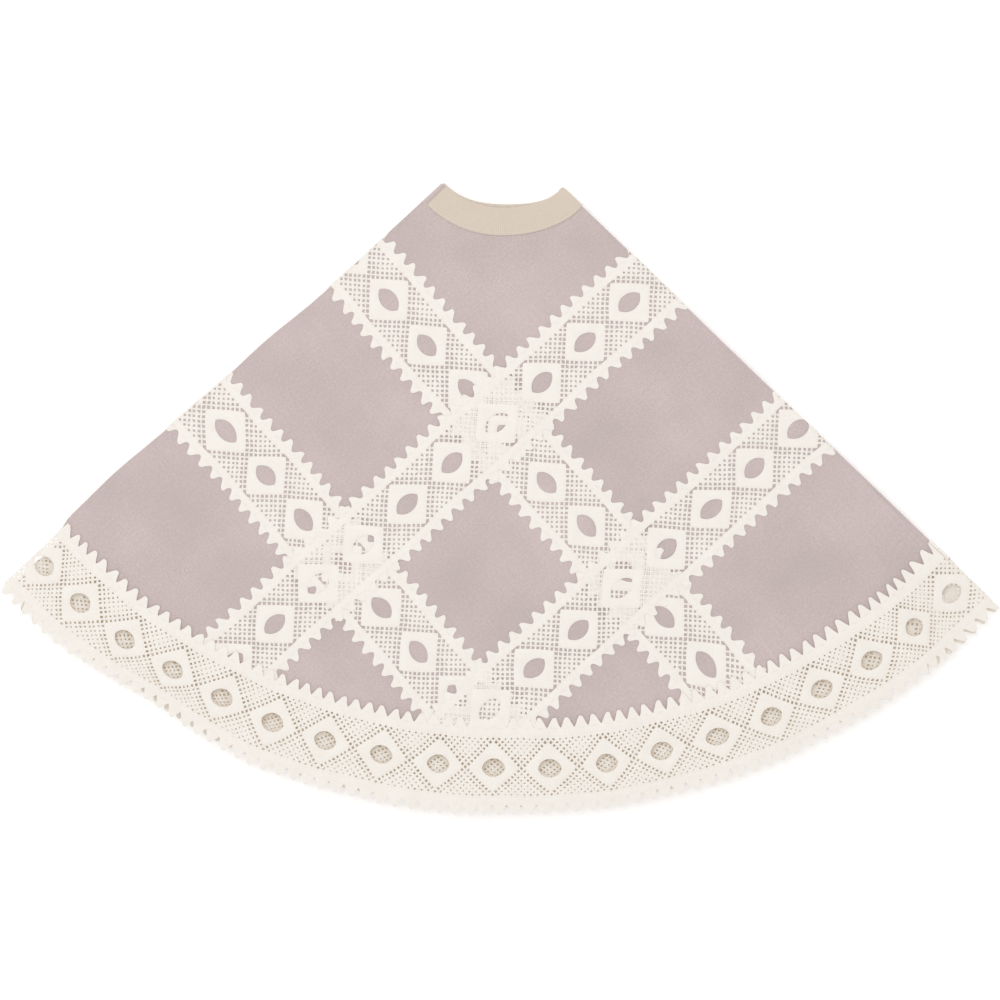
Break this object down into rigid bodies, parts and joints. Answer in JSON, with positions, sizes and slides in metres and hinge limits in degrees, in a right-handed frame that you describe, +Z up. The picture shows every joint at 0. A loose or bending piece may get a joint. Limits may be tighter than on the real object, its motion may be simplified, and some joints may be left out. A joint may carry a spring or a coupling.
{
  "type": "tree skirt",
  "caption": "Round lace-trimmed fabric tree skirt folded flat into a quarter fan that unfolds to a full circle with a slit and a trunk opening.",
  "frame": {"origin": "centre of the folded skirt's box, on the surface it lies on", "axes": "+X along the longest side, to the viewer's right; +Y from the curved hem towards the trunk opening; +Z up, out of the lace side of the top quarter"},
  "size_m": [0.8858, 0.5636, 0.0208],
  "materials": {
    "face_fabric": "matt plain weave, mauve greige",
    "lining_fabric": "matt plain weave, off white",
    "binding_tape": "matt finely ribbed tape, oatmeal",
    "lace": "matt cotton crochet lace, ivory",
    "loop_pad": "soft brushed loops, off white",
    "hook_pad": "fine stiff hooks, off white"
  },
  "bodies": {
    "top_quarter": {"top_shell": "face_fabric", "top_lining": "lining_fabric", "top_neck_binding": "binding_tape", "top_hem_lace": "lace", "top_lower_band_inner": "lace", "top_lower_band_outer": "lace", "top_upper_band_inner": "lace", "top_upper_band_outer": "lace", "top_slit_facing": "face_fabric", "top_loop_pad_neck": "loop_pad", "top_loop_pad_middle": "loop_pad", "top_loop_pad_hem": "loop_pad"},
    "second_quarter": {"second_shell": "face_fabric", "second_lining": "lining_fabric", "second_neck_binding": "binding_tape", "second_hem_lace": "lace", "second_lower_band_inner": "lace", "second_lower_band_outer": "lace", "second_upper_band_inner": "lace", "second_upper_band_outer": "lace"},
    "third_quarter": {"third_shell": "face_fabric", "third_lining": "lining_fabric", "third_neck_binding": "binding_tape", "third_hem_lace": "lace", "third_lower_band_inner": "lace", "third_lower_band_outer": "lace", "third_upper_band_inner": "lace", "third_upper_band_outer": "lace"},
    "bottom_quarter": {"bottom_shell": "face_fabric", "bottom_lining": "lining_fabric", "bottom_neck_binding": "binding_tape", "bottom_hem_lace": "lace", "bottom_lower_band_inner": "lace", "bottom_lower_band_outer": "lace", "bottom_upper_band_inner": "lace", "bottom_upper_band_outer": "lace", "bottom_slit_facing": "face_fabric", "bottom_hook_pad_neck": "hook_pad", "bottom_hook_pad_middle": "hook_pad", "bottom_hook_pad_hem": "hook_pad"}
  },
  "joints": [
    {"name": "top_fold", "type": "hinge", "parent": "top_quarter", "child": "second_quarter", "pos_m": [0.00475, 0.32778, 0.0157], "axis": [0.7206, -0.6934, 0], "range_deg": [0, 180]},
    {"name": "middle_fold", "type": "hinge", "parent": "second_quarter", "child": "third_quarter", "pos_m": [0.00475, 0.32778, 0.0104], "axis": [0.7314, 0.682, 0], "range_deg": [0, 180]},
    {"name": "bottom_fold", "type": "hinge", "parent": "third_quarter", "child": "bottom_quarter", "pos_m": [0.00475, 0.32778, 0.0051], "axis": [0.6455, -0.7638, 0], "range_deg": [0, 180]}
  ]
}
